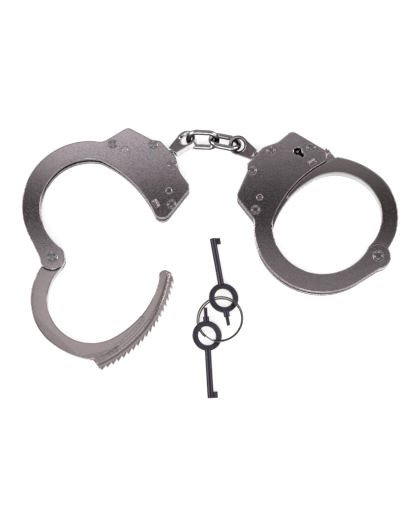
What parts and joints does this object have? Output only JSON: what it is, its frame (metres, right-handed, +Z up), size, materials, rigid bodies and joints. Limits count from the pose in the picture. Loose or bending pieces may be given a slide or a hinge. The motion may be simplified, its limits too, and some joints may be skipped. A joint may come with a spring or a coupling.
{
  "type": "pair of handcuffs with keys",
  "caption": "Pair of ratchet handcuffs joined by swivels and a short chain, one cuff closed and one open, with two hollow-barrel keys on a split ring.",
  "frame": {"origin": "middle of the bounding box, on the surface that the cuffs and keys lie on", "axes": "+X from the left cuff to the right cuff, +Y towards the chain, +Z up from the surface"},
  "size_m": [0.2087, 0.1514, 0.0117],
  "materials": {
    "cheek_nickel": "satin nickel plate with fine brushing",
    "jaw_nickel": "satin nickel plate",
    "lock_steel": "plain machined steel",
    "rivet_nickel": "bright nickel",
    "chain_nickel": "bright nickel",
    "key_steel": "dark gunmetal",
    "ring_nickel": "nickel-plated spring steel wire"
  },
  "bodies": {
    "right_frame": {"right_front_cheek": "cheek_nickel", "right_back_cheek": "cheek_nickel", "right_lock_housing": "lock_steel", "right_case_rivets": "rivet_nickel", "right_hinge_rivet": "rivet_nickel", "right_key_post": "lock_steel", "right_pawl_pivot": "lock_steel", "right_pawl_spring": "lock_steel"},
    "right_jaw": {"right_jaw": "jaw_nickel"},
    "right_pawl": {"right_pawl": "lock_steel"},
    "right_double_lock_bar": {"right_double_lock_bar": "lock_steel"},
    "right_swivel": {"right_swivel": "chain_nickel"},
    "right_chain_link": {"right_chain_link": "chain_nickel"},
    "left_frame": {"left_front_cheek": "cheek_nickel", "left_back_cheek": "cheek_nickel", "left_lock_housing": "lock_steel", "left_case_rivets": "rivet_nickel", "left_hinge_rivet": "rivet_nickel", "left_key_post": "lock_steel", "left_pawl_pivot": "lock_steel", "left_pawl_spring": "lock_steel"},
    "left_jaw": {"left_jaw": "jaw_nickel"},
    "left_pawl": {"left_pawl": "lock_steel"},
    "left_double_lock_bar": {"left_double_lock_bar": "lock_steel"},
    "left_swivel": {"left_swivel": "chain_nickel"},
    "left_chain_link": {"left_chain_link": "chain_nickel"},
    "split_ring": {"split_ring": "ring_nickel"},
    "upper_key": {"upper_key_barrel": "key_steel", "upper_key_bow": "key_steel", "upper_key_lock_pin": "key_steel"},
    "lower_key": {"lower_key_barrel": "key_steel", "lower_key_bow": "key_steel", "lower_key_lock_pin": "key_steel"}
  },
  "joints": [
    {"name": "right_jaw_hinge", "type": "hinge", "parent": "right_frame", "child": "right_jaw", "pos_m": [0.09255, 0.00191, 0.0048], "axis": [0, 0, 1], "range_deg": [-128, 14.3]},
    {"name": "right_pawl_pivot", "type": "hinge", "parent": "right_frame", "child": "right_pawl", "pos_m": [0.02749, 0.03547, 0.0048], "axis": [0, 0, 1], "range_deg": [-5.1, 0]},
    {"name": "right_double_lock_slide", "type": "slide", "parent": "right_frame", "child": "right_double_lock_bar", "axis": [-0.6691, -0.7431, 0], "range_m": [0, 0.0012]},
    {"name": "left_jaw_hinge", "type": "hinge", "parent": "left_frame", "child": "left_jaw", "pos_m": [-0.08684, 0.00138, 0.0048], "axis": [0, 0, 1], "range_deg": [-44, 98.29]},
    {"name": "left_pawl_pivot", "type": "hinge", "parent": "left_frame", "child": "left_pawl", "pos_m": [-0.04748, 0.0631, 0.0048], "axis": [0, 0, 1], "range_deg": [-5.1, 0]},
    {"name": "left_double_lock_slide", "type": "slide", "parent": "left_frame", "child": "left_double_lock_bar", "axis": [-0.6789, 0.7342, 0], "range_m": [0, 0.0012]},
    {"name": "right_swivel_spin", "type": "hinge", "parent": "right_frame", "child": "right_swivel", "pos_m": [0.02847, 0.05906, 0.0048], "axis": [-0.8387, 0.5446, 0], "continuous": true},
    {"name": "right_link_swing", "type": "hinge", "parent": "right_swivel", "child": "right_chain_link", "pos_m": [0.01618, 0.06765, 0.00378], "axis": [-0.0199, -0.8068, 0.5905], "range_deg": [-8, 6]},
    {"name": "left_link_swing", "type": "hinge", "parent": "right_chain_link", "child": "left_chain_link", "pos_m": [0.00058, 0.07001, 0.00648], "axis": [-0.0199, -0.8068, 0.5905], "range_deg": [-40, 15]},
    {"name": "left_swivel_swing", "type": "hinge", "parent": "left_chain_link", "child": "left_swivel", "pos_m": [-0.01207, 0.07028, 0.00619], "axis": [0.0353, 0.6064, 0.7944], "range_deg": [-40, 12]},
    {"name": "left_swivel_spin", "type": "hinge", "parent": "left_swivel", "child": "left_frame", "pos_m": [-0.02408, 0.05997, 0.0048], "axis": [-0.7401, -0.6725, 0], "continuous": true},
    {"name": "ring_lift", "type": "slide", "parent": "right_frame", "child": "split_ring", "axis": [0, 0, 1], "range_m": [0, 0.1]},
    {"name": "upper_key_swing", "type": "hinge", "parent": "split_ring", "child": "upper_key", "pos_m": [0.00547, -0.03239, 0.00375], "axis": [-0.1729, 0.0806, 0.9816], "range_deg": [-25, 15]},
    {"name": "lower_key_swing", "type": "hinge", "parent": "split_ring", "child": "lower_key", "pos_m": [0.00547, -0.03239, 0.00375], "axis": [-0.1729, 0.0806, 0.9816], "range_deg": [-15, 28]}
  ]
}
